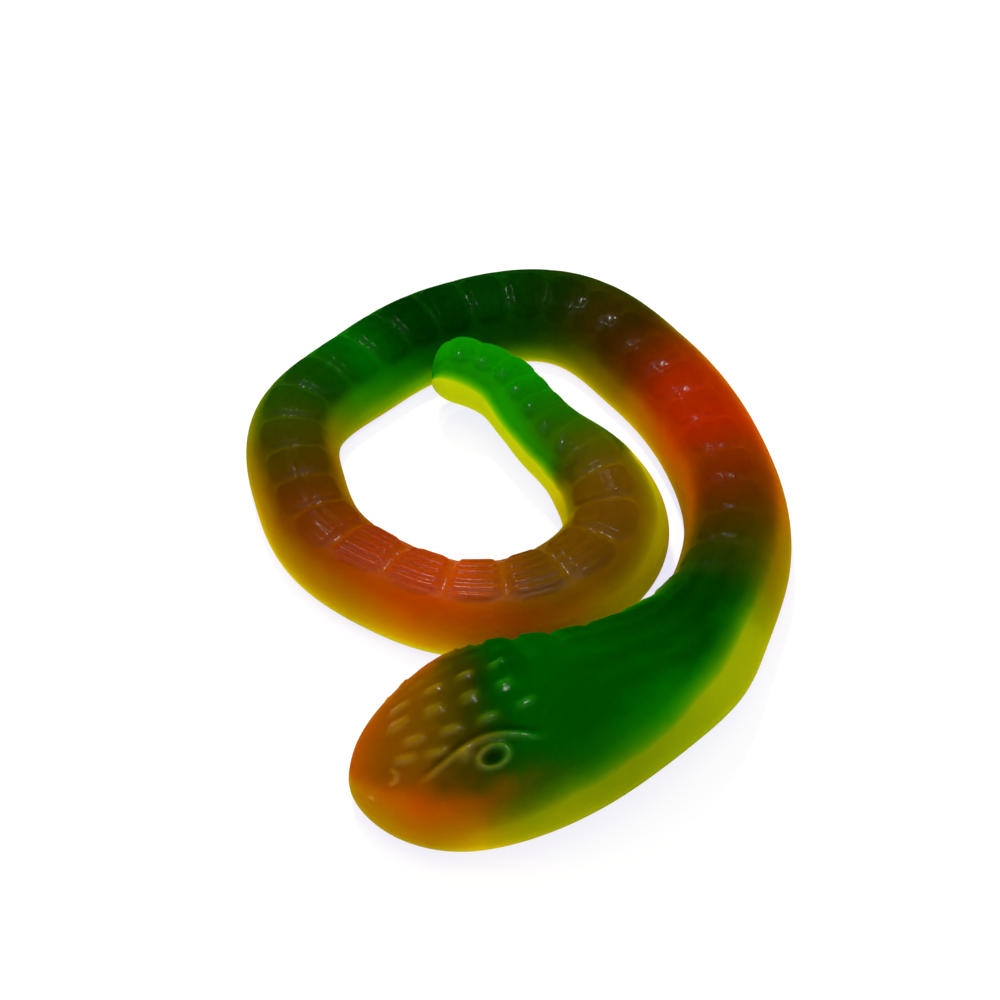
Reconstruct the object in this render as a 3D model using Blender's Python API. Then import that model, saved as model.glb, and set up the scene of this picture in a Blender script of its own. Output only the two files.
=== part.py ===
# Gummy snake lying in a coil: a coloured jelly back moulded on a yellow belly layer.
# Driving sizes are in millimetres, lengths run from the nose to the tail, and the meshes are in metres.
import functools
import math

import bmesh
import bpy
from mathutils import Vector

mm = 0.001

# Lie of the spine from above: turn round the middle of the coil in degrees, distance from it
spineTurns = (
    (-104, 47.4), (-78, 45.4), (-50, 42.3), (-20, 38.1), (8, 33.9), (36, 32.4), (64, 33.4), (92, 27.9),
    (122, 23.1), (156, 22.4), (188, 19.7), (216, 19.7), (246, 20.4), (276, 23.1), (304, 24.6), (330, 23.6),
    (354, 18.3), (376, 13.8), (398, 12.8), (424, 14.2), (461, 15.7))

# Girth: distance from the nose, half width, height above and below the widest level
girth = (
    (0, 9.8, 6.1, 4.9), (7, 12.5, 7.1, 5.3), (15.5, 14.8, 8.0, 5.7), (24, 14.5, 8.2, 5.7),
    (33, 12.7, 7.5, 5.4), (41.5, 10.4, 6.6, 5.0), (51.5, 7.5, 6.1, 4.6), (62, 6.9, 5.7, 4.4),
    (103, 7.0, 5.6, 4.3), (198, 6.2, 5.6, 4.3), (221, 7.0, 5.5, 4.2), (236, 6.1, 5.0, 4.0),
    (249, 4.7, 4.5, 3.6), (264, 5.0, 4.3, 3.3))

# Roll of the back towards the inside of the coil, in degrees, and lift of the tail off the ground
roll = (
    (0, -4), (20.5, 13), (34.5, 21), (51.5, 10), (62, 10), (72, 2), (95, 6), (130, 5), (163, 0),
    (198, 4), (222, 7), (231, 12), (244, -9), (254.5, -16), (264, -18))
lift = ((0, 0), (220, 0), (230.5, 0.4), (242.5, 1.7), (254.5, 3.1), (264, 4.2))

sectionPower = 2.25      # fullness of the cross-section, where 2 is an ellipse
groundPress = 0.3        # depth by which the soft belly is flattened on the ground
noseRun = 14.0           # length over which the nose is rounded off
tailRun = 4.4            # length over which the tail is rounded off
endPower = 2.2
noseRise = 2.6           # how far the very tip of the nose is off the ground
tailRise = 1.6

# Moulded back: crosswise plates with lengthwise flutes
platesStart = 18.0
platePitch = (
    (0, 6.1), (45, 6.1), (60, 5.8), (118, 5.65), (160, 5.55), (178, 5.7), (188, 7.6), (202, 7.1), (214, 7.4),
    (226, 6.4), (240, 3.8), (264, 3.6))
plateRise = 0.55
plateNotch = 0.09        # half width of the notch between plates, as a share of the pitch
bandHalf = 36.0          # half width of the raised band, as a section angle in degrees
fluteAngle = 14.4        # section angle from one flute to the next
fluteDepth = 0.16
tailStart = 236.0        # from here the plates turn into plain bumps

# Joint between the two layers
seamDrop = 0.15          # its level under the widest level, as a share of the lower height
seamGap = 0.3

# Eyes: distance from the nose, section angle each side of the middle of the head, which leans inwards
headMiddle = 98.0
eyePlace = 15.5
eyeAngle = 42.0
eyeRing = 1.45
eyeRingThick = 0.42

backAngles = (8, 24, 40, 54) + tuple(54 + 7.2 * k for k in range(1, 10)) + (126, 140, 156, 172)
bellyAngles = (200, 216, 232, 248, 262, 278, 292, 308, 324, 340)
plateSteps = (0.0, 0.15, 0.5, 0.85)


def eased(table, x, column=1):
    """Smooth curve through one column of a table."""
    last = len(table) - 1
    x = min(max(x, table[0][0]), table[last][0])
    i = max(k for k in range(last) if table[k][0] <= x)

    def step(k):
        return (table[k + 1][column] - table[k][column]) / (table[k + 1][0] - table[k][0])

    def slope(k):
        if k == 0 or k == last:
            return step(min(k, last - 1))
        before = table[k][0] - table[k - 1][0]
        after = table[k + 1][0] - table[k][0]
        return (step(k - 1) * after + step(k) * before) / (before + after)

    run = table[i + 1][0] - table[i][0]
    u = (x - table[i][0]) / run
    start = (2 * u ** 3 - 3 * u * u + 1) * table[i][column] + (u ** 3 - 2 * u * u + u) * run * slope(i)
    end = (3 * u * u - 2 * u ** 3) * table[i + 1][column] + (u ** 3 - u * u) * run * slope(i + 1)
    return start + end


def smoothStep(low, high, x):
    u = min(max((x - low) / (high - low), 0.0), 1.0)
    return u * u * (3 - 2 * u)


def spineTrace(steps=2400):
    """Distance along the spine with the point there, from nose to tail."""
    trace = []
    first = spineTurns[0][0]
    sweep = spineTurns[-1][0] - first
    distance = 0.0
    for k in range(steps + 1):
        turn = first + sweep * k / steps
        reach = eased(spineTurns, turn)
        point = Vector((math.cos(math.radians(turn)), math.sin(math.radians(turn)))) * reach
        if trace:
            distance += (point - trace[-1][1]).length
        trace.append((distance, point))
    return trace


spine = spineTrace()
length = spine[-1][0]


def spineAt(s):
    """Point of the spine and its direction at a distance from the nose."""
    s = min(max(s, 0.0), length)
    low, high = 0, len(spine) - 1
    while high - low > 1:
        middle = (low + high) // 2
        if spine[middle][0] <= s:
            low = middle
        else:
            high = middle
    share = (s - spine[low][0]) / (spine[high][0] - spine[low][0])
    point = spine[low][1].lerp(spine[high][1], share)
    behind = spine[max(low - 6, 0)][1]
    ahead = spine[min(high + 6, len(spine) - 1)][1]
    return point, (ahead - behind).normalized()


def endRounding(s):
    rounding = 1.0
    for run, distance in ((noseRun, s), (tailRun, length - s)):
        if distance < run:
            share = (run - max(distance, 0.0)) / run
            rounding = max(1 - share ** endPower, 0.0) ** (1 / endPower)
    return rounding


@functools.lru_cache(maxsize=None)
def platePhase(s):
    """Count of plates from the start of the moulded back to s, which falls at a notch when whole."""
    steps = 40
    run = (s - platesStart) / steps
    return sum(run / eased(platePitch, platesStart + run * (k + 0.5)) for k in range(steps))


def relief(s, angle):
    """Rise of the moulded plates and flutes over the plain section."""
    fromMiddle = abs(angle - 90.0)
    band = 1 - smoothStep(bandHalf - 2, bandHalf + 10, fromMiddle)
    along = smoothStep(platesStart - 6, platesStart + 4, s)
    if band == 0 or along == 0:
        return 0.0
    phase = platePhase(s)
    fromNotch = abs(phase - round(phase))
    plate = 1 - math.exp(-(fromNotch / plateNotch) ** 2)
    bumps = smoothStep(tailStart - 7, tailStart + 7, s)
    flute = fluteDepth * (1 - bumps) * math.cos(2 * math.pi * (angle - 90) / fluteAngle)
    return band * along * plate * (plateRise + flute)


def sectionFrame(s):
    """Half width, top, bottom and roll of the cross-section at s."""
    rounding = max(endRounding(s), 0.02)
    sizes = [eased(girth, s, column) * rounding for column in (1, 2, 3)]
    return sizes[0], sizes[1], sizes[2], math.radians(eased(roll, s))


def sectionPoint(frame, angle, rise=0.0):
    """Point of the cross-section's outline at an angle, before it is rolled."""
    halfWidth, top, bottom, _ = frame
    c, n = math.cos(math.radians(angle)), math.sin(math.radians(angle))
    across = halfWidth * math.copysign(abs(c) ** (2 / sectionPower), c)
    up = (top if n >= 0 else bottom) * math.copysign(abs(n) ** (2 / sectionPower), n)
    outward = Vector((c / halfWidth, n / (top if n >= 0 else bottom))).normalized()
    return Vector((across, up)) + outward * rise


def rolled(frame, point):
    c, n = math.cos(frame[3]), math.sin(frame[3])
    return Vector((point.x * c - point.y * n, point.x * n + point.y * c))


def groundLevel(frame):
    """Height of the spine that lets the rolled section rest, pressed in a little, on the ground."""
    lowest = min(rolled(frame, sectionPoint(frame, 180 + 3 * k)).y for k in range(61))
    return -lowest - groundPress


def placed(s, frame, points):
    """Section points, rolled and set on the spine, flattened where they meet the ground."""
    point, direction = spineAt(s)
    outside = Vector((direction.y, -direction.x))
    tipRise = noseRise if s < length / 2 else tailRise
    level = groundLevel(frame) + eased(lift, s) + tipRise * (1 - endRounding(s))
    ring = []
    for local in points:
        turned = rolled(frame, local)
        flat = point + outside * turned.x
        ring.append(Vector((flat.x, flat.y, max(turned.y + level, 0.0))) * mm)
    return ring


def seamPoints(frame, offset, shares):
    """Points of the joint between the layers, across the section from one side to the other."""
    halfWidth, _, bottom, _ = frame
    down = seamDrop * bottom - offset
    side = halfWidth * max(1 - (down / bottom) ** sectionPower, 0.0) ** (1 / sectionPower)
    return [Vector((side * share, -down)) for share in shares]


def backRing(s):
    frame = sectionFrame(s)
    left = seamPoints(frame, 0.0, (-1.0, -0.4, 0.4, 1.0))
    scale = min(frame[0] / 6.0, 1.0)
    arc = [sectionPoint(frame, angle, relief(s, angle) * scale) for angle in backAngles]
    return placed(s, frame, left + arc)


def bellyRing(s):
    frame = sectionFrame(s)
    top = seamPoints(frame, -seamGap, (1.0, 0.4, -0.4, -1.0))
    arc = [sectionPoint(frame, angle) for angle in bellyAngles]
    return placed(s, frame, top + arc)


def stations():
    """Distances of the cross-sections: close at both ends, four to a plate between them."""
    places = [noseRun * (1 - math.cos(math.radians(angle))) for angle in (4, 12, 22, 33, 45, 57, 69, 80)]
    places += [noseRun + k * (platesStart - noseRun) / 3 for k in range(3)]
    capStart = length - tailRun
    plates = int(platePhase(capStart))
    s = platesStart
    for plate in range(plates + 1):
        for part in plateSteps:
            goal = plate + part
            while platePhase(s) < goal - 1e-4:
                s += (goal - platePhase(s)) * eased(platePitch, s) * 0.9
            if s < capStart - 0.4:
                places.append(s)
    places += [length - tailRun * (1 - math.cos(math.radians(angle))) for angle in (88, 66, 48, 32, 18, 6)]
    return places


def loft(name, rings):
    """Closed mesh through rings of points, with a flat cap at each end."""
    mesh = bmesh.new()
    loops = [[mesh.verts.new(point) for point in ring] for ring in rings]
    for one, two in zip(loops[:-1], loops[1:]):
        for k in range(len(one)):
            following = (k + 1) % len(one)
            mesh.faces.new((one[k], one[following], two[following], two[k]))
    mesh.faces.new(list(reversed(loops[0])))
    mesh.faces.new(loops[-1])
    bmesh.ops.recalc_face_normals(mesh, faces=mesh.faces)
    data = bpy.data.meshes.new(name)
    mesh.to_mesh(data)
    mesh.free()
    for face in data.polygons:
        face.use_smooth = True
    piece = bpy.data.objects.new(name, data)
    bpy.context.collection.objects.link(piece)
    return piece


def finish(piece, colour, roughness):
    material = bpy.data.materials.new(piece.name)
    material.use_nodes = True
    shader = material.node_tree.nodes["Principled BSDF"]
    shader.inputs["Base Color"].default_value = colour + (1.0,)
    shader.inputs["Roughness"].default_value = roughness
    shader.inputs["Metallic"].default_value = 0.0
    piece.data.materials.append(material)


def addEye(back, side):
    """Raised ring on one side of the head, fused with the back."""
    frame = sectionFrame(eyePlace)
    angle = headMiddle + side * eyeAngle
    ahead = Vector(placed(eyePlace, frame, [sectionPoint(frame, angle + 4)])[0])
    behind = Vector(placed(eyePlace, frame, [sectionPoint(frame, angle - 4)])[0])
    middle = Vector(placed(eyePlace, frame, [sectionPoint(frame, angle)])[0])
    _, direction = spineAt(eyePlace)
    outward = Vector((direction.x, direction.y, 0)).cross(ahead - behind).normalized()
    if outward.z < 0:
        outward = -outward
    bpy.ops.mesh.primitive_torus_add(
        major_segments=18, minor_segments=6, major_radius=eyeRing * mm, minor_radius=eyeRingThick * mm,
        location=middle, rotation=outward.to_track_quat("Z", "Y").to_euler())
    ring = bpy.context.object
    fuse = back.modifiers.new("eye", "BOOLEAN")
    fuse.operation = "UNION"
    fuse.object = ring
    bpy.context.view_layer.objects.active = back
    bpy.ops.object.modifier_apply(modifier=fuse.name)
    bpy.data.objects.remove(ring)


def settle(pieces):
    """Move the pieces so that the origin is on the ground under the middle of the whole."""
    corners = [vertex.co for piece in pieces for vertex in piece.data.vertices]
    middle = Vector([(min(c[k] for c in corners) + max(c[k] for c in corners)) / 2 for k in (0, 1)] + [0.0])
    for piece in pieces:
        for vertex in piece.data.vertices:
            vertex.co -= middle
        piece.data.update()
    print("moved by", [round(value / mm, 3) for value in middle])


def main():
    for leftover in list(bpy.data.objects):
        bpy.data.objects.remove(leftover)
    places = stations()
    back = loft("jelly_back", [backRing(s) for s in places])
    belly = loft("belly_layer", [bellyRing(s) for s in places[1:-1]])
    finish(back, (0.035, 0.16, 0.012), 0.22)
    finish(belly, (0.78, 0.62, 0.02), 0.42)
    for side in (-1, 1):
        addEye(back, side)
    settle([back, belly])
    print("length", round(length, 1), "sections", len(places))


main()
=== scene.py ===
import math

import bpy
import numpy as np
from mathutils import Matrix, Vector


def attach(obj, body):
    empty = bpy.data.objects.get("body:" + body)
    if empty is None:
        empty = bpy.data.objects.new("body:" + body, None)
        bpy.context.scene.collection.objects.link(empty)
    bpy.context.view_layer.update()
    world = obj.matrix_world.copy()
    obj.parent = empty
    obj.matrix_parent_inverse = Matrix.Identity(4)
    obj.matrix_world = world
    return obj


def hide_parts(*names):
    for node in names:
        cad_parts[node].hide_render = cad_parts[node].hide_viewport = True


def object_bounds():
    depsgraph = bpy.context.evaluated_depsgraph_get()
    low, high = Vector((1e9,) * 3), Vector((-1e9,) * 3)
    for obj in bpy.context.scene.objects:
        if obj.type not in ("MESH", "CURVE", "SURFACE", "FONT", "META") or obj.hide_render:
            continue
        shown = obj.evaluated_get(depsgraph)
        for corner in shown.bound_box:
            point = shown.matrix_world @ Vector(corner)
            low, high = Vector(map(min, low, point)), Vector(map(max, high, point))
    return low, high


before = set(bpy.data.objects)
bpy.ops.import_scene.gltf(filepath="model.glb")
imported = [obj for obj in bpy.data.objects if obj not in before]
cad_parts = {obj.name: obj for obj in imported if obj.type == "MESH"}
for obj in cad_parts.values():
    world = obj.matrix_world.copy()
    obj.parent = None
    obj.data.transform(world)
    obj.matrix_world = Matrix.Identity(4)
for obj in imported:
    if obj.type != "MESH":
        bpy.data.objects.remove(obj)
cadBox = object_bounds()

mm = 0.001

# where the photo was taken from: the view is level with +Y and tilted down
view = {
    "tilt": 47.0,
    "distance": 330.6 * mm,
    "lens": 91.7,
    "target": (-1.8 * mm, 10.5 * mm, 0.0),
}

# the spine seen from above: turn round the middle of the coil in degrees, distance from it in mm
spineTurns = (
    (-104, 47.4), (-78, 45.4), (-50, 42.3), (-20, 38.1), (8, 33.9), (36, 32.4), (64, 33.4), (92, 27.9),
    (122, 23.1), (156, 22.4), (188, 19.7), (216, 19.7), (246, 20.4), (276, 23.1), (304, 24.6), (330, 23.6),
    (354, 18.3), (376, 13.8), (398, 12.8), (424, 14.2), (461, 15.7))

# distance from the nose, half width, height above and below the widest level, all in mm
girth = (
    (0, 9.8, 6.1, 4.9), (7, 12.5, 7.1, 5.3), (15.5, 14.8, 8.0, 5.7), (24, 14.5, 8.2, 5.7),
    (33, 12.7, 7.5, 5.4), (41.5, 10.4, 6.6, 5.0), (51.5, 7.5, 6.1, 4.6), (62, 6.9, 5.7, 4.4),
    (103, 7.0, 5.6, 4.3), (198, 6.2, 5.6, 4.3), (221, 7.0, 5.5, 4.2), (236, 6.1, 5.0, 4.0),
    (249, 4.7, 4.5, 3.6), (264, 5.0, 4.3, 3.3))

# roll of the back towards the inside of the coil in degrees, and lift of the tail in mm
roll = (
    (0, -4), (20.5, 13), (34.5, 21), (51.5, 10), (62, 10), (72, 2), (95, 6), (130, 5), (163, 0),
    (198, 4), (222, 7), (231, 12), (244, -9), (254.5, -16), (264, -18))
lift = ((0, 0), (220, 0), (230.5, 0.4), (242.5, 1.7), (254.5, 3.1), (264, 4.2))

body = {
    "sectionPower": 2.25,
    "groundPress": 0.3,
    "noseRun": 14.0,
    "tailRun": 4.4,
    "endPower": 2.2,
    "noseRise": 2.6,
    "tailRise": 1.6,
    "rings": 780,          # cross-sections from nose to tail
    "around": 128,         # points round a cross-section
    "markedTo": 200,       # section angle where the moulded marks end: the belly has none
}

# moulded back: each row is distance from the nose and the value there
plates = {
    "start": 18.0,
    "startRun": (6.0, 4.0),    # the relief grows in from so far before the start to so far after it
    "pitch": (
        (0, 6.1), (45, 6.1), (60, 5.8), (118, 5.65), (160, 5.55), (178, 5.7), (188, 7.6), (202, 7.1),
        (214, 7.4), (226, 6.4), (240, 3.8), (264, 3.6)),
    "rise": (
        (0, 0.55), (55, 0.5), (66, 0.22), (108, 0.22), (125, 0.5), (232, 0.55), (242, 0.4), (264, 0.4)),
    "roundOff": 0.22,          # share of the rise that is lost towards the notches
    "cut": (
        (0, 0.9), (34, 0.9), (42, 0.1), (54, 0.2), (66, 0.6), (108, 0.6), (130, 0.85), (185, 1.0),
        (230, 1.0), (242, 0.35), (264, 0.35)),
    "notch": ((0, 0.22), (50, 0.2), (66, 0.09), (264, 0.08)),    # half width as a share of the pitch
    "middle": (
        (0, 118), (24, 118), (32, 127), (50, 124), (64, 95), (110, 95), (140, 90), (180, 90), (190, 95),
        (216, 95), (264, 92)),
    "halfBand": (
        (0, 22), (50, 22), (66, 26), (108, 26), (140, 36), (180, 35), (190, 29), (216, 29), (264, 35)),
    "sideFall": (4, 7),        # degrees inside and outside a plate's edge over which its side falls off
    "cornerCut": 7,            # degrees by which its corners are cut back
    "flutes": ((0, 0), (180, 0), (187, 0.13), (213, 0.13), (221, 0.02), (264, 0)),
    "fluteAngle": 10.2,
    "fluteShift": 3.2,         # most degrees by which a plate's flutes are out of line
    "lip": 0.07,               # raised edge along each notch
    "groove": 0.10,            # line along the middle of the back
    "grooveReach": (120, 140, 182, 190),
    "bead": 0.22,              # small bead where a notch meets the middle line
    "dip": 0.05,               # how far the notches run on past the plates' sides
    "tailStart": 236.0,        # plain bumps from here on
    "tailRun": 7.0,
    "tailBead": 0.26,
}

# neck: reaches are the distances from the nose where a form begins, is full, starts to fade and ends
neck = {
    "swell": 0.6,
    "swellReach": (20, 28, 50, 62),
    "swellSide": (34, 56),
    "ridge": 0.15,             # soft lengthwise ridges: height, then place, spread and pitch in degrees
    "ridgeReach": (24, 32, 50, 62),
    "ridgeMiddle": 80.0,
    "ridgeSpread": (28, 46),
    "ridgePitch": 19.0,
    "ridgeWander": 4.0,
}

# moulded marks on the head: places are distance from the nose and degrees from the middle of the back
head = {
    "middle": 98.0,
    "eye": (15.5, 42.0),
    "eyeRadius": 1.45,
    "eyeRing": 0.42,
    "eyeRise": 0.42,
    "pupilDepth": 0.28,
    "pupilRadius": 0.85,
    "brow": ((8.0, 50), (9.3, 45), (12.0, 35), (14.8, 30.5), (17.5, 33), (20.5, 42)),
    "browReach": (7.6, 10.1, 18.5, 21.5),
    "browRise": 0.38,
    "browDip": 0.2,
    "scuteRows": (
        (6.6, (5.9, 10.1, 14.4, 18.8)), (19.8, (7.8, 11.8, 15.9, 20.2)), (31.0, (6.9, 10.2))),
    "scuteSize": (1.25, 0.66),
    "scuteRise": 0.42,
    "cheek": (12.9, 36.5),
    "cheekSize": (0.75, 0.95),
    "cheekRise": 0.34,
    "nostril": (5.2, 44.0),
    "nostrilRadius": 0.9,
    "nostrilRise": 0.32,
    "snoutBead": (3.6, 66.0),
    "snoutBeadRise": 0.42,
    "innerSide": (106, 118),   # marks grow softer here, towards the inner side of the coil
    "end": (24, 27),
}

# how wet the skin is, from 0 to 1: all over a plate, close to the notches, and on the head's marks
wet = {
    "plate": (
        (0, 0), (24, 0), (32, 0.05), (60, 0), (112, 0), (130, 0.05), (178, 0.08), (187, 0.65), (213, 0.65),
        (219, 0.15), (236, 0.12), (242, 0), (264, 0)),
    "notch": (
        (0, 0), (44, 0), (50, 0.9), (66, 1), (116, 1), (130, 0.35), (150, 0.9), (234, 0.9), (242, 0),
        (264, 0)),
    "marks": 0.55,
}


def eased(table, x, column=1):
    # smooth curve through one column of a table, for an array of places
    xs = np.array([row[0] for row in table], float)
    ys = np.array([row[column] for row in table], float)
    steps = np.diff(ys) / np.diff(xs)
    gaps = np.diff(xs)
    inner = (steps[:-1] * gaps[1:] + steps[1:] * gaps[:-1]) / (gaps[:-1] + gaps[1:])
    slopes = np.concatenate(([steps[0]], inner, [steps[-1]]))
    x = np.clip(np.asarray(x, float), xs[0], xs[-1])
    i = np.clip(np.searchsorted(xs, x, side="right") - 1, 0, len(xs) - 2)
    u = (x - xs[i]) / gaps[i]
    start = (2 * u ** 3 - 3 * u * u + 1) * ys[i] + (u ** 3 - 2 * u * u + u) * gaps[i] * slopes[i]
    end = (3 * u * u - 2 * u ** 3) * ys[i + 1] + (u ** 3 - u * u) * gaps[i] * slopes[i + 1]
    return start + end


def level(table, x):
    # straight steps between the rows of a table, so that nothing overshoots
    return np.interp(x, [row[0] for row in table], [row[1] for row in table])


def smoothStep(low, high, x):
    u = np.clip((np.asarray(x, float) - low) / (high - low), 0, 1)
    return u * u * (3 - 2 * u)


def traceSpine():
    # distance along the spine, and the points there, from nose to tail
    turns = np.radians(np.linspace(spineTurns[0][0], spineTurns[-1][0], 4000))
    reach = eased(spineTurns, np.degrees(turns))
    points = np.stack([reach * np.cos(turns), reach * np.sin(turns)], axis=1)
    steps = np.linalg.norm(np.diff(points, axis=0), axis=1)
    return np.concatenate(([0.0], np.cumsum(steps))), points


spineDistance, spinePoints = traceSpine()
bodyLength = spineDistance[-1]


def spineAt(s):
    def sample(place):
        place = np.clip(place, 0, bodyLength)
        return np.stack([np.interp(place, spineDistance, spinePoints[:, k]) for k in (0, 1)], axis=-1)
    ahead = sample(s + 0.7) - sample(s - 0.7)
    return sample(s), ahead / np.linalg.norm(ahead, axis=-1, keepdims=True)


def endRounding(s):
    nose = np.clip((body["noseRun"] - s) / body["noseRun"], 0, 1)
    tail = np.clip((body["tailRun"] - (bodyLength - s)) / body["tailRun"], 0, 1)
    share = np.maximum(nose, tail)
    return np.maximum(1 - share ** body["endPower"], 0) ** (1 / body["endPower"])


def sectionPoint(s, angle):
    # outline of the plain cross-section before it is rolled, and its outward direction
    rounding = np.maximum(endRounding(s), 0.002)
    halfWidth, top, bottom = (eased(girth, s, column) * rounding for column in (1, 2, 3))
    c, n = np.cos(np.radians(angle)), np.sin(np.radians(angle))
    height = np.where(n >= 0, top, bottom)
    power = 2 / body["sectionPower"]
    across = halfWidth * np.sign(c) * np.abs(c) ** power
    up = height * np.sign(n) * np.abs(n) ** power
    outX, outY = c / halfWidth, n / height
    size = np.hypot(outX, outY)
    return across, up, outX / size, outY / size


def rolled(s, across, up):
    turn = np.radians(eased(roll, s))
    return across * np.cos(turn) - up * np.sin(turn), across * np.sin(turn) + up * np.cos(turn)


def spineLevel(s):
    # height of the spine that lets each section rest, pressed in a little, on the ground
    under = np.linspace(180, 360, 61)[None, :]
    across, up, _, _ = sectionPoint(s[:, None], under)
    lowest = rolled(s[:, None], across, up)[1].min(axis=1)
    tipRise = np.where(s < bodyLength / 2, body["noseRise"], body["tailRise"])
    return -lowest - body["groundPress"] + eased(lift, s) + tipRise * (1 - endRounding(s))


def platePhase(s):
    # count of plates from where they start: whole at each notch
    fine = np.linspace(0, bodyLength, 4000)
    rate = 1 / eased(plates["pitch"], fine)
    count = np.concatenate(([0.0], np.cumsum((rate[1:] + rate[:-1]) / 2 * np.diff(fine))))
    return np.interp(s, fine, count) - np.interp(plates["start"], fine, count)


def plateau(reach, x):
    # rises from the first place to the second, and falls from the third to the fourth
    begins, full, fades, ends = reach
    return smoothStep(begins, full, x) * (1 - smoothStep(fades, ends, x))


def bump(place, width, x, power=2):
    # rounded bump of height 1
    return np.exp(-np.abs((x - place) / width) ** power)


def notchShare(phase):
    # the marks at some notches are stronger than at others
    return 0.62 + 0.38 * np.sin(2.1 * np.round(phase) + 0.6)


def tailBead(fromNotch, side):
    # one small round bead on the inner side of each plate near the tail
    return bump(0.5, 0.15, fromNotch) * bump(22, 9.0, side)


def neckRelief(s, angle, besidePlates):
    # the plates end on the inner side of the neck, and beside them its back swells evenly
    swell = neck["swell"] * plateau(neck["swellReach"], s) * smoothStep(*neck["swellSide"], angle)
    # soft ridges run along it
    fromMiddle = angle - neck["ridgeMiddle"]
    wander = neck["ridgeWander"] * np.sin(s / 5.1)
    ridges = neck["ridge"] * np.cos(2 * np.pi * (fromMiddle + wander) / neck["ridgePitch"])
    ridges = ridges * plateau(neck["ridgeReach"], s)
    return swell * besidePlates + ridges * (1 - smoothStep(*neck["ridgeSpread"], np.abs(fromMiddle)))


def plateRelief(s, angle):
    # crosswise plates with notches between them, and lengthwise flutes on each plate
    side = angle - level(plates["middle"], s)
    fromMiddle = np.abs(side)
    width = level(plates["notch"], s)
    phase = platePhase(s)
    fromNotch = np.abs(phase - np.round(phase))
    notch = bump(0, width, fromNotch) * level(plates["cut"], s)
    crown = 1 - plates["roundOff"] * (1 - np.sin(np.pi * np.clip(fromNotch, 0, 0.5)) ** 0.8)
    edge = level(plates["halfBand"], s) - plates["cornerCut"] * (1 - smoothStep(0.05, 0.3, fromNotch))
    inside, outside = plates["sideFall"]
    band = 1 - smoothStep(edge - inside, edge + outside, fromMiddle)
    before, after = plates["startRun"]
    along = smoothStep(plates["start"] - before, plates["start"] + after, s)
    onTail = smoothStep(plates["tailStart"] - plates["tailRun"], plates["tailStart"] + plates["tailRun"], s)
    shift = plates["fluteShift"] * np.sin(2.4 * np.floor(phase))
    wave = 0.5 + 0.5 * np.cos(2 * np.pi * (side + shift) / plates["fluteAngle"])
    flute = level(plates["flutes"], s) * (2 * wave ** 0.5 - 1) * smoothStep(0.06, 0.16, fromNotch)
    lip = plates["lip"] * bump(width + 0.06, 0.05, fromNotch) * (1 - onTail)
    groove = plates["groove"] * bump(0, 2.2, side) * plateau(plates["grooveReach"], s)
    bead = plates["bead"] * bump(0, 0.07, fromNotch) * bump(6, 3.2, fromMiddle)
    bead = bead * smoothStep(46, 52, s) * (1 - onTail) * notchShare(phase)
    bead = bead + plates["tailBead"] * onTail * tailBead(fromNotch, side)
    dip = plates["dip"] * (1 - smoothStep(40, 85, fromMiddle)) * notch * smoothStep(52, 62, s)
    raised = band * (1 - notch) * (level(plates["rise"], s) * crown + flute + lip - groove)
    return along * (raised + bead + neckRelief(s, angle, (1 - band) * (side < 0)) - dip)


def headRelief(s, angle):
    # eyes, brows, scutes and nostrils on both sides of the head
    side = np.abs(angle - head["middle"])
    perDegree = np.radians(1.0) * eased(girth, s, 1) * endRounding(s) * 0.92
    innerSide = smoothStep(*head["innerSide"], angle)

    def away(place, size=(1.0, 1.0)):
        # distance from the place of a mark, lengthwise and crosswise over its size
        return np.hypot((s - place[0]) / size[0], (side - place[1]) * perDegree / size[1])

    fromEye = away(head["eye"])
    eye = head["eyeRise"] * bump(head["eyeRadius"], head["eyeRing"], fromEye)
    eye = eye - head["pupilDepth"] * bump(0, head["pupilRadius"], fromEye, 4)
    toBrow = (side - eased(head["brow"], s)) * perDegree
    brow = head["browRise"] * bump(0, 0.6, toBrow) - head["browDip"] * bump(-1.1, 0.5, toBrow)
    brow = brow * plateau(head["browReach"], s)
    scutes = 0
    length, breadth = head["scuteSize"]
    for angleOff, places in head["scuteRows"]:
        across = bump(0, breadth, (side - angleOff) * perDegree, 2.4)
        scutes = scutes + across * sum(bump(place, length, s, 3) for place in places)
    total = eye * (1 - 0.45 * innerSide) + brow * (1 - 0.6 * innerSide)
    total = total + head["scuteRise"] * scutes * (1 - 0.75 * innerSide)
    total = total + head["cheekRise"] * bump(0, 1, away(head["cheek"], head["cheekSize"]), 2.4)
    # the nostril is the rear part of a ring
    nostril = bump(head["nostrilRadius"], 0.36, away(head["nostril"]))
    total = total + head["nostrilRise"] * nostril * smoothStep(-0.2, 0.6, s - head["nostril"][0])
    snoutBead = head["snoutBeadRise"] * bump(0, 0.42, away(head["snoutBead"]))
    total = total * smoothStep(1.0, 4.0, s) + snoutBead
    return total * (angle < 185) * (1 - smoothStep(*head["end"], s))


def wetShare(s, angle):
    # where the skin is wet enough to glint, from 0 to 1
    side = angle - level(plates["middle"], s)
    phase = platePhase(s)
    fromNotch = np.abs(phase - np.round(phase))
    nearNotch = bump(0, 0.14, fromNotch) * bump(0, 15.0, side) * notchShare(phase)
    onPlate = (1 - smoothStep(28, 38, np.abs(side))) * (1 - 0.75 * smoothStep(-14, -6, side))
    share = level(wet["plate"], s) * onPlate + level(wet["notch"], s) * nearNotch
    share = share + wet["marks"] * smoothStep(0.06, 0.28, headRelief(s, angle))
    share = share + smoothStep(237, 241, s) * tailBead(fromNotch, side)
    return np.clip(share, 0, 1) * (angle < body["markedTo"])


def relief(s, angle):
    scale = np.clip(eased(girth, s, 1) * endRounding(s) / 4.0, 0, 1)
    return scale * (plateRelief(s, angle) + headRelief(s, angle))


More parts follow.
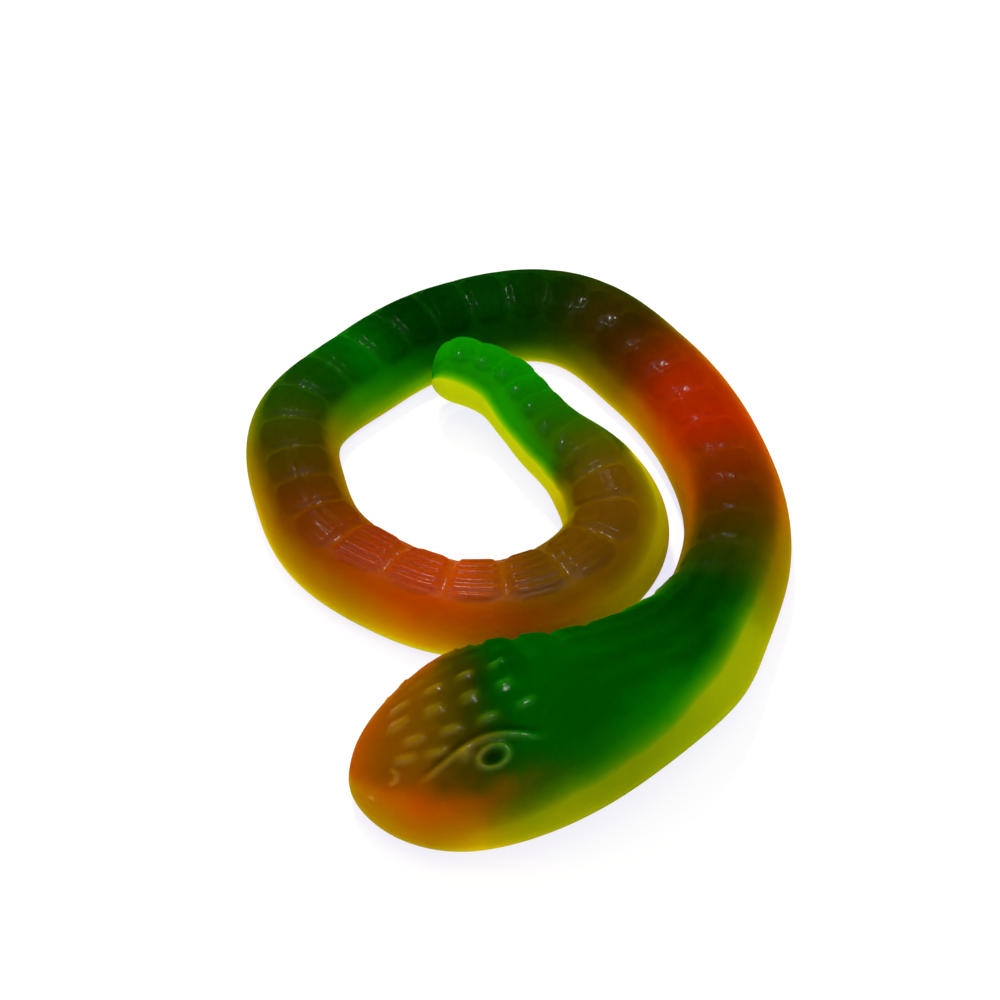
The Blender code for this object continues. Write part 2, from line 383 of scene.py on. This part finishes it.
def skinPoint(s, angle):
    # place on the snake's skin in mm for arrays of distances and section angles
    across, up, outX, outY = sectionPoint(s, angle)
    rise = relief(s, angle) * (angle < body["markedTo"])
    across, up = rolled(s, across + outX * rise, up + outY * rise)
    places, back = np.unique(s, return_inverse=True)
    spineHeight = spineLevel(places)[back].reshape(s.shape)
    point, direction = spineAt(s)
    x = point[..., 0] + direction[..., 1] * across
    y = point[..., 1] - direction[..., 0] * across
    z = up + spineHeight
    return np.stack([x, y, np.maximum(z, 0)], axis=-1)


def ringPlaces(count):
    # distances of the cross-sections, closer on the head and at both tips
    fine = np.linspace(0, bodyLength, 6000)
    density = 1.0 + 0.9 * (1 - smoothStep(22, 30, fine))
    density += 5 * np.exp(-fine / 0.5) + 5 * np.exp(-(bodyLength - fine) / 0.4)
    total = np.concatenate(([0.0], np.cumsum((density[1:] + density[:-1]) / 2)))
    return np.interp(np.linspace(0, total[-1], count + 1), total, fine)


def segmentAngles(count):
    # section angles round the body, closer over the moulded back
    fine = np.linspace(0, 360, 3601)
    density = 1.0 + 3.2 * (smoothStep(38, 48, fine) - smoothStep(132, 142, fine))
    total = np.concatenate(([0.0], np.cumsum((density[1:] + density[:-1]) / 2)))
    return np.interp(np.linspace(0, total[-1], count + 1)[:-1], total, fine)


def addAttribute(piece, name, values):
    layer = piece.data.attributes.new(name, "FLOAT", "POINT")
    layer.data.foreach_set("value", np.ascontiguousarray(values, np.float32))


def makeSkin():
    # a sphere whose poles become nose and tail tip, drawn out along the spine
    rings, around = body["rings"], body["around"]
    bpy.ops.object.select_all(action="DESELECT")
    bpy.ops.mesh.primitive_uv_sphere_add(segments=around, ring_count=rings, radius=1.0, location=(0, 0, 0))
    skin = bpy.context.object
    skin.name = "snakeSkin"
    mesh = skin.data
    flat = np.empty(len(mesh.vertices) * 3)
    mesh.vertices.foreach_get("co", flat)
    ball = flat.reshape(-1, 3)
    latitude = np.arccos(np.clip(ball[:, 2], -1, 1)) / np.pi
    ringIndex = np.clip(np.round(latitude * rings), 0, rings).astype(int)
    longitude = np.arctan2(ball[:, 1], ball[:, 0]) / (2 * np.pi)
    segmentIndex = np.round(longitude * around).astype(int) % around
    s = ringPlaces(rings)[ringIndex]
    angle = segmentAngles(around)[segmentIndex]
    points = skinPoint(s, angle) * mm
    # set against the frame: the coil's box has its middle over the origin
    middle = (points.min(axis=0) + points.max(axis=0)) / 2
    target = (np.array(cadBox[0]) + np.array(cadBox[1])) / 2
    points[:, :2] += (target - middle)[:2]
    mesh.vertices.foreach_set("co", points.ravel())
    mesh.update()
    bpy.ops.object.mode_set(mode="EDIT")
    bpy.ops.mesh.select_all(action="SELECT")
    bpy.ops.mesh.normals_make_consistent(inside=False)
    bpy.ops.object.mode_set(mode="OBJECT")
    bpy.ops.object.shade_smooth()
    addAttribute(skin, "fromNose", s)
    addAttribute(skin, "upShare", np.sin(np.radians(angle)))
    addAttribute(skin, "headMarks", headRelief(s, angle))
    addAttribute(skin, "plateMarks", plateRelief(s, angle) * (angle < body["markedTo"]))
    addAttribute(skin, "wetness", wetShare(s, angle))
    print("skin:", len(mesh.vertices), "points")
    return skin


class Value:
    # a socket that takes part in arithmetic, each step a Math node
    def __init__(self, maker, socket):
        self.maker, self.socket = maker, socket

    def math(self, operation, *others):
        return self.maker.node("ShaderNodeMath", {"operation": operation}, dict(enumerate((self,) + others)))

    def __add__(self, other):
        return self.math("ADD", other)

    def __radd__(self, other):
        return self.math("ADD", other)

    def __sub__(self, other):
        return self.math("SUBTRACT", other)

    def __rsub__(self, other):
        return self.maker.node("ShaderNodeMath", {"operation": "SUBTRACT"}, {0: other, 1: self})

    def __mul__(self, other):
        return self.math("MULTIPLY", other)

    def __rmul__(self, other):
        return self.math("MULTIPLY", other)

    def __truediv__(self, other):
        return self.math("DIVIDE", other)

    def exp(self):
        return self.math("EXPONENT")

    def clamp(self):
        return self.maker.node("ShaderNodeClamp", {}, {0: self})

    def smooth(self, low, high):
        return self.maker.node("ShaderNodeMapRange", {"interpolation_type": "SMOOTHSTEP"},
                               {"Value": self, "From Min": low, "From Max": high})


class Shader:
    # node tree of one material or of the world, with its main shader
    def __init__(self, owner, surface="Principled BSDF"):
        self.owner = owner
        owner.use_nodes = True
        self.nodes = owner.node_tree.nodes
        self.links = owner.node_tree.links
        self.surface = self.nodes[surface]

    def node(self, kind, settings=None, sockets=None, output=0):
        new = self.nodes.new(kind)
        for name, setting in (settings or {}).items():
            if name == "stops":
                self.setStops(new.color_ramp, setting)
            else:
                setattr(new, name, setting)
        for name, value in (sockets or {}).items():
            self.feed(new.inputs[name], value)
        return Value(self, new.outputs[output])

    def feed(self, socket, value):
        if isinstance(value, Value):
            self.links.new(value.socket, socket)
        else:
            socket.default_value = value

    def setStops(self, ramp, stops):
        while len(ramp.elements) < len(stops):
            ramp.elements.new(1.0)
        for element, (place, colour) in zip(ramp.elements, stops):
            element.position = place
            element.color = (tuple(colour) + (1.0,))[:4]

    def attribute(self, name):
        return self.node("ShaderNodeAttribute", {"attribute_name": name}, {}, "Fac")

    def noise(self, scale, detail=2.0):
        where = self.node("ShaderNodeTexCoord", {}, {}, "Object")
        return self.node("ShaderNodeTexNoise", {}, {"Vector": where, "Scale": scale, "Detail": detail})


# dye in the jelly along the body: distance from the nose in mm, amounts of red and of green dye, and last
# how much painted shade darkens the yellow rim (back), or how sharply the jelly begins and how high (flank)
jelly = {
    "backDyes": (
        (0, 0.80, 0.07, 1.00), (9, 0.74, 0.27, 0.98), (14, 0.87, 0.54, 0.29), (19, 0.20, 1.46, 0.59),
        (28, 0.07, 1.48, 1.00), (50, 0.34, 1.21, 0.44), (56, 0.64, 0.67, 0.75), (62, 0.85, 0.46, 0.75),
        (72, 0.96, 0.24, 0.70), (82, 1.24, 0.02, 0.01), (92, 1.20, 0.06, 0.00), (102, 1.06, 0.38, 0.00),
        (112, 0.89, 0.64, 0.04), (122, 0.52, 1.18, 0.00), (140, 0.38, 1.32, 0.00), (146, 0.07, 1.26, 0.51),
        (152, 0.46, 0.93, 0.77), (162, 0.65, 0.50, 0.93), (174, 0.85, 0.29, 0.00), (188, 0.91, 0.08, 0.56),
        (200, 0.80, 0.03, 0.00), (212, 0.69, 0.24, 0.00), (230, 0.68, 0.26, 0.00), (238, 0.53, 0.40, 0.00),
        (246, 0.25, 0.72, 0.00), (253, 0.00, 0.95, 0.00), (264, 0.00, 0.92, 0.00)),
    "flankDyes": (
        (0, 0.50, 0.10, 0.00, 0.30), (8, 0.88, 0.01, 0.00, 0.30), (15, 0.84, 0.24, 0.25, 0.30),
        (22, 0.44, 0.80, 0.80, 0.37), (32, 0.08, 1.15, 0.97, 0.38), (40, 0.22, 1.00, 0.97, 0.60),
        (48, 0.58, 0.90, 0.92, 0.82), (56, 0.71, 0.39, 0.50, 0.80), (70, 0.75, 0.08, 0.10, 0.70),
        (82, 0.99, 0.01, 0.00, 0.30), (92, 0.73, 0.08, 0.00, 0.30), (102, 0.70, 0.34, 0.00, 0.30),
        (112, 0.81, 0.79, 0.10, 0.30), (122, 0.67, 1.16, 0.20, 0.30), (140, 0.12, 1.30, 0.30, 0.30),
        (148, 0.13, 0.86, 0.20, 0.30), (158, 0.42, 0.38, 0.00, 0.30), (168, 0.63, 0.24, 0.00, 0.30),
        (180, 0.69, 0.19, 0.00, 0.30), (196, 0.85, 0.03, 0.00, 0.30), (208, 0.97, 0.13, 0.00, 0.30),
        (216, 0.61, 0.23, 0.10, 0.50), (224, 0.67, 0.35, 0.50, 0.70), (234, 1.03, 0.62, 1.00, 0.68),
        (241, 0.18, 0.65, 1.00, 0.38), (250, 0.00, 0.80, 1.00, 0.22), (264, 0.05, 0.90, 1.00, 0.45)),
    "dyeScale": 1.6,               # a ramp's colours stay under 1
    "redTakes": (0.72, 3.16, 6.0),  # how strongly each dye takes out red, green and blue light
    "greenTakes": (5.5, 1.3, 6.0),
    "belly": (0.72, 0.59, 0.003),
    "cloudScale": 70.0,            # slow clouds and finer swirls in the dyes
    "swirlScale": 190.0,
    "cloudShift": 9.0,             # how far they shift the colours along the body, in mm
    "swirlShift": 3.0,
    "flankToBack": (0.5, 0.92),    # height on the section where the back's dyes take over, -1 to 1
    "seamWave": 0.12,
    "softSeam": (0.33, 0.92),      # height below the middle where the jelly begins, and how steeply
    "sharpSeam": 3.0,              # how steeply it begins where its seam is sharp
    "markHighlightAndShade": 0.95,          # the head's raised marks are painted lighter as a highlight, its pupils and brow creases darker as painted shade; the plates stand in deeper jelly
    "plateDeepening": 0.28,
    "paintedUnderShade": 0.3,              # how much painted shade darkens the underside
    "wetness": 0.55,
    "coatRoughness": 0.2,
    "roughness": 0.2,
    "bellyRoughness": 0.4,
    "grainScale": 1600.0,
    "dimpleScale": 520.0,
    "grainDepth": 0.22 * mm,
    "speckleScale": 2600.0,
}


def makeJelly():
    shader = Shader(bpy.data.materials.new("snakeJelly"))
    fromNose = shader.attribute("fromNose")
    upShare = shader.attribute("upShare")
    headMarks = shader.attribute("headMarks")
    plateMarks = shader.attribute("plateMarks")
    cloud = shader.noise(jelly["cloudScale"], 3.0) - 0.5
    swirl = shader.noise(jelly["swirlScale"], 3.0) - 0.5
    place = (fromNose + cloud * jelly["cloudShift"] + swirl * jelly["swirlShift"]) / bodyLength
    amounts = {}
    for zone in ("backDyes", "flankDyes"):
        stops = [(s / bodyLength, (red / jelly["dyeScale"], green / jelly["dyeScale"], *rest))
                 for s, red, green, *rest in jelly[zone]]
        dye = shader.node("ShaderNodeValToRGB", {"stops": stops}, {"Fac": place}, "Color")
        split = shader.node("ShaderNodeSeparateColor", {}, {"Color": dye})
        amounts[zone] = [Value(shader, split.socket.node.outputs[part]) for part in ("Red", "Green", "Blue")]
        amounts[zone].append(Value(shader, dye.socket.node.outputs["Alpha"]))
    onBack = (upShare + swirl * 0.25).smooth(*jelly["flankToBack"])
    red, green = (((back - flank) * onBack + flank) * jelly["dyeScale"]
                  for back, flank in zip(amounts["backDyes"][:2], amounts["flankDyes"][:2]))
    rimShadeAmount = amounts["backDyes"][2]
    sharpSeam, seamPlace = amounts["flankDyes"][2:]
    # thickness of the coloured jelly over the yellow layer: thin at the sides, full on the back
    wave = swirl * jelly["seamWave"]
    reach, steepness = jelly["softSeam"]
    soft = ((upShare + reach + wave) * steepness).clamp()
    sharp = ((upShare - seamPlace + wave) * jelly["sharpSeam"] + 0.5).clamp() * 0.9 + 0.1
    depth = ((sharp - soft) * sharpSeam + soft) * (cloud * 0.4 + 1.0)
    # painted highlight on the head's raised marks and painted shade in its pupils and brow creases; the
    # plates' relief deepens the dye
    depth = depth * (1.0 - headMarks * jelly["markHighlightAndShade"]) * (0.97 + plateMarks * jelly["plateDeepening"])
    # painted shade: where the jelly over the yellow rim is thin, the rim is drawn darker by the back table's
    # last column
    paintedRimShade = rimShadeAmount * (1.0 - depth).clamp() * upShare.smooth(-0.98, -0.7)
    # painted shade: the underside is drawn darker, except at the tail
    paintedUnderShade = upShare.smooth(-0.1, -0.55) * fromNose.smooth(240, 228) * jelly["paintedUnderShade"]
    # both painted shades, on the rim and on the underside, darken every channel alike
    paintedShade = paintedRimShade + paintedUnderShade
    channels = []
    for channel in range(3):
        taken = red * jelly["redTakes"][channel] + green * jelly["greenTakes"][channel]
        channels.append((taken * depth * -1 - paintedShade).exp() * jelly["belly"][channel])
    colour = shader.node("ShaderNodeCombineColor", {}, dict(enumerate(channels)))
    shader.feed(shader.surface.inputs["Base Color"], colour)
    grain = shader.noise(jelly["grainScale"], 3.0)
    dimple = shader.noise(jelly["dimpleScale"])
    jellyShare = depth.smooth(0.02, 0.35)
    roughness = jellyShare * (jelly["roughness"] - jelly["bellyRoughness"]) + jelly["bellyRoughness"]
    shader.feed(shader.surface.inputs["Roughness"], roughness + grain * 0.08)
    skinGrain = {"Strength": 0.5, "Distance": jelly["grainDepth"], "Height": grain * 0.5 + dimple}
    shader.feed(shader.surface.inputs["Normal"], shader.node("ShaderNodeBump", {}, skinGrain))
    surface = shader.surface.inputs
    surface["Subsurface Weight"].default_value = 1.0
    surface["Subsurface Radius"].default_value = (1.0, 0.8, 0.3)
    surface["Subsurface Scale"].default_value = 0.0010
    surface["Specular IOR Level"].default_value = 0.0
    # a wet skin over the moulded marks alone, broken up by fine grain
    speckle = shader.noise(jelly["speckleScale"]).smooth(0.38, 0.62) * 0.8 + 0.2
    shader.feed(surface["Coat Weight"], shader.attribute("wetness") * speckle * jelly["wetness"])
    surface["Coat Roughness"].default_value = jelly["coatRoughness"]
    surface["Coat IOR"].default_value = 1.45
    surface["IOR"].default_value = 1.42
    print("jelly material:", len(shader.nodes), "nodes")
    return shader.owner


stage = {
    "floorSize": 3.0,
    # the floor takes in more yellow light than blue and glows bluish, so its shadows stay cool
    "floorColour": (0.35, 0.35, 0.13, 1.0),
    "floorGlow": (0.68, 0.67, 0.88, 1.0),
    "roomStrength": 1.30,
    "wallStrength": 0.12,
    # small lamps: power in watts, width and place in metres
    "lamps": {
        "window": (0.5, 0.026, (-0.12, 0.37, 0.46)),
        "high": (1.6, 0.07, (-0.07, 0.21, 0.55)),
        "fill": (0.8, 0.5, (0.1, -0.30, 0.68)),
    },
}


def makeFloor():
    bpy.ops.object.select_all(action="DESELECT")
    bpy.ops.mesh.primitive_plane_add(size=stage["floorSize"], location=(0, 0, 0))
    floor = bpy.context.object
    floor.name = "floor"
    shader = Shader(bpy.data.materials.new("floorPaint"))
    shader.surface.inputs["Base Color"].default_value = stage["floorColour"]
    shader.surface.inputs["Emission Color"].default_value = stage["floorGlow"]
    shader.surface.inputs["Emission Strength"].default_value = 1.0
    shader.surface.inputs["Roughness"].default_value = 0.9
    shader.surface.inputs["Specular IOR Level"].default_value = 0.0
    floor.data.materials.append(shader.owner)
    print("floor:", stage["floorSize"], "m wide")


def addLight(name, power, size, place):
    lamp = bpy.data.lights.new(name, "AREA")
    lamp.energy, lamp.size, lamp.shape = power, size, "DISK"
    light = bpy.data.objects.new(name, lamp)
    bpy.context.scene.collection.objects.link(light)
    light.location = place
    toCoil = -np.array(place)
    light.rotation_euler = (math.atan2(math.hypot(toCoil[0], toCoil[1]), -toCoil[2]), 0,
                            math.atan2(-toCoil[0], toCoil[1]))


def makeLights():
    # a bright room with a darker wall behind the snake
    world = bpy.data.worlds.new("studio")
    sky = Shader(world, "Background")
    direction = sky.node("ShaderNodeTexCoord", {}, {}, "Generated")
    split = sky.node("ShaderNodeSeparateXYZ", {}, {"Vector": direction})
    towardsWall = Value(sky, split.socket.node.outputs["Y"]).smooth(-0.1, 0.6)
    room = towardsWall * (stage["wallStrength"] - stage["roomStrength"]) + stage["roomStrength"]
    seen = sky.node("ShaderNodeLightPath", {}, {}, "Is Camera Ray")
    sky.feed(sky.surface.inputs["Strength"], seen * (1.0 - room) + room)
    sky.surface.inputs["Color"].default_value = (1, 1, 1, 1)
    bpy.context.scene.world = world
    for name, (power, size, place) in stage["lamps"].items():
        addLight(name, power, size, place)
    bpy.context.scene.view_settings.view_transform = "Standard"
    print("lights:", len(stage["lamps"]), "lamps and the room")


def makeCamera():
    tilt = math.radians(view["tilt"])
    data = bpy.data.cameras.new("camera")
    data.lens, data.sensor_width = view["lens"], 36.0
    data.clip_start, data.clip_end = 0.01, 10.0
    camera = bpy.data.objects.new("camera", data)
    bpy.context.scene.collection.objects.link(camera)
    target = view["target"]
    camera.location = (target[0], target[1] - view["distance"] * math.cos(tilt),
                       target[2] + view["distance"] * math.sin(tilt))
    camera.rotation_euler = (math.pi / 2 - tilt, 0, 0)
    bpy.context.scene.camera = camera
    print("camera:", view["tilt"], "degrees down")


makeCamera()
skin = makeSkin()
skin.data.materials.append(makeJelly())
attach(skin, "root")
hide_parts("jelly_back", "belly_layer")
makeFloor()
makeLights()
